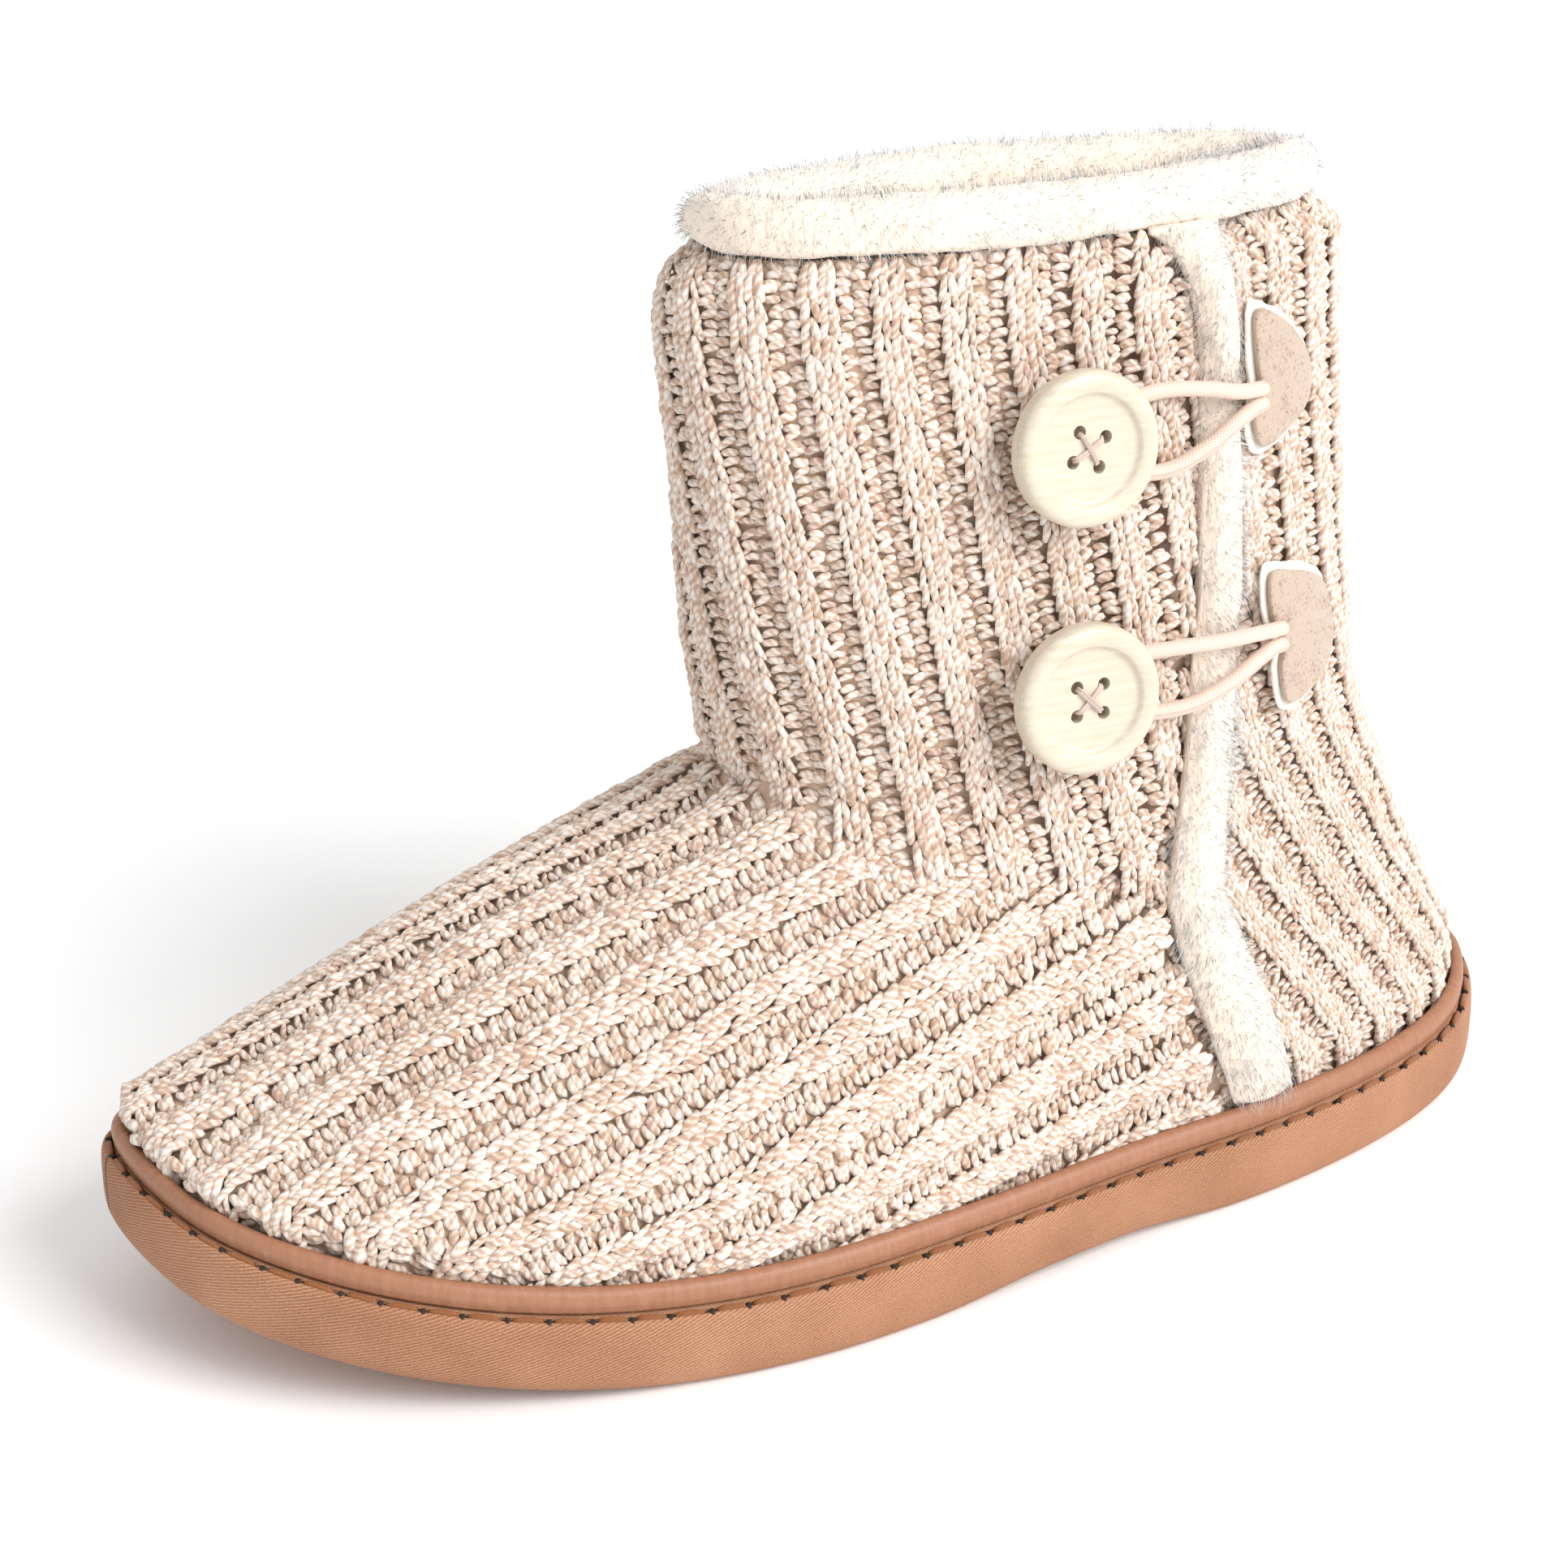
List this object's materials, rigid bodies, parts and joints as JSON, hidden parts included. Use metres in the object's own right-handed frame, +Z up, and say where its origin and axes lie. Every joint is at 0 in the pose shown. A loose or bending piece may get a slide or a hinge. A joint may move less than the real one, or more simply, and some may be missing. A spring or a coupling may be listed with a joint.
{
  "type": "knit slipper boot",
  "caption": "Short knit slipper boot with a rib-knit upper, plush collar and side lap, round buttons on elastic loops, smooth welt strip and soft outsole.",
  "frame": {"origin": "on the floor under the middle of the shoe's bounding box", "axes": "+Z up, toe towards -Y, heel towards +Y, outer side of the left foot towards +X"},
  "size_m": [0.1014, 0.265, 0.1822],
  "materials": {
    "sole_rubber": "matt, fine twill grain",
    "welt_strip": "smooth, soft sheen",
    "footbed": "short fleece",
    "knit_yarn": "chunky marl yarn, ribbed",
    "plush": "deep soft pile",
    "wood": "pale, satin",
    "elastic": "fine braided",
    "suede": "napped",
    "fleece_edge": "soft"
  },
  "bodies": {
    "root": {"outsole": "sole_rubber", "welt": "welt_strip", "insole": "footbed", "upper": "knit_yarn", "plush_collar": "plush", "plush_strip": "plush", "button_upper": "wood", "button_lower": "wood", "thread_upper": "elastic", "thread_lower": "elastic", "elastic_upper": "elastic", "elastic_lower": "elastic", "tab_upper": "suede", "tab_lower": "suede", "tab_backing_upper": "fleece_edge", "tab_backing_lower": "fleece_edge"}
  },
  "joints": []
}
